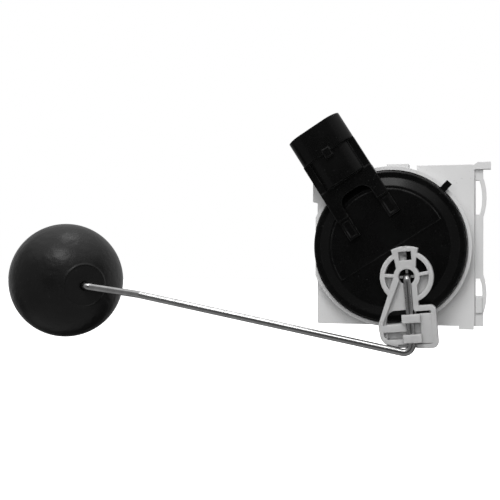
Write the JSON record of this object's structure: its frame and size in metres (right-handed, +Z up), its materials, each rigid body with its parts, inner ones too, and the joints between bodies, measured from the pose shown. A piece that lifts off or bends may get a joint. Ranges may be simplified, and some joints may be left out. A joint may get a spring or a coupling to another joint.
{
  "type": "float-arm liquid-level sender",
  "caption": "Float-arm level sender: a black sealed sensor with a plug shroud on a pale slide-in plate, a swing lever, a bent steel wire and a black ball float.",
  "frame": {"origin": "where the lever's pivot axis meets the plane of the mounting plate's back", "axes": "+Y out of the plate's back, +X along the plate's width away from the float, +Z up the plate, towards the plug"},
  "size_m": [0.2067, 0.0498, 0.0991],
  "materials": {
    "plate_plastic": "satin",
    "body_plastic": "satin",
    "seal_rubber": "matte",
    "terminal_brass": "satin",
    "card_ceramic": "matte",
    "track_ink": "matte",
    "spacer_film": "satin",
    "cover_steel": "satin",
    "lever_plastic": "satin",
    "magnet_ferrite": "matte",
    "wire_steel": "bright drawn",
    "clip_steel": "satin",
    "float_plastic": "satin"
  },
  "bodies": {
    "base": {"mounting_plate": "plate_plastic", "sensor_housing": "body_plastic", "housing_seal": "seal_rubber", "back_cap": "body_plastic", "connector_shroud": "body_plastic", "terminal_1": "terminal_brass", "terminal_2": "terminal_brass", "terminal_3": "terminal_brass", "lead_strips": "terminal_brass", "ceramic_card": "card_ceramic", "resistor_track": "track_ink", "spacer_frame": "spacer_film", "contact_foil": "terminal_brass", "card_cover": "cover_steel", "pivot_bush": "body_plastic"},
    "arm": {"swing_lever": "lever_plastic", "lever_magnet": "magnet_ferrite", "float_wire": "wire_steel", "pivot_clip": "clip_steel", "float_clip": "clip_steel"},
    "float": {"float_front_shell": "float_plastic", "float_rear_shell": "float_plastic"}
  },
  "joints": [
    {"name": "float_arm", "type": "hinge", "parent": "base", "child": "arm", "pos_m": [0, -0.01, 0], "axis": [0, 1, 0], "range_deg": [0, 55]},
    {"name": "float_spin", "type": "hinge", "parent": "arm", "child": "float", "pos_m": [-0.14886, -0.01658, -0.00254], "axis": [-0.6929, 0.7175, 0.0715], "continuous": true}
  ]
}
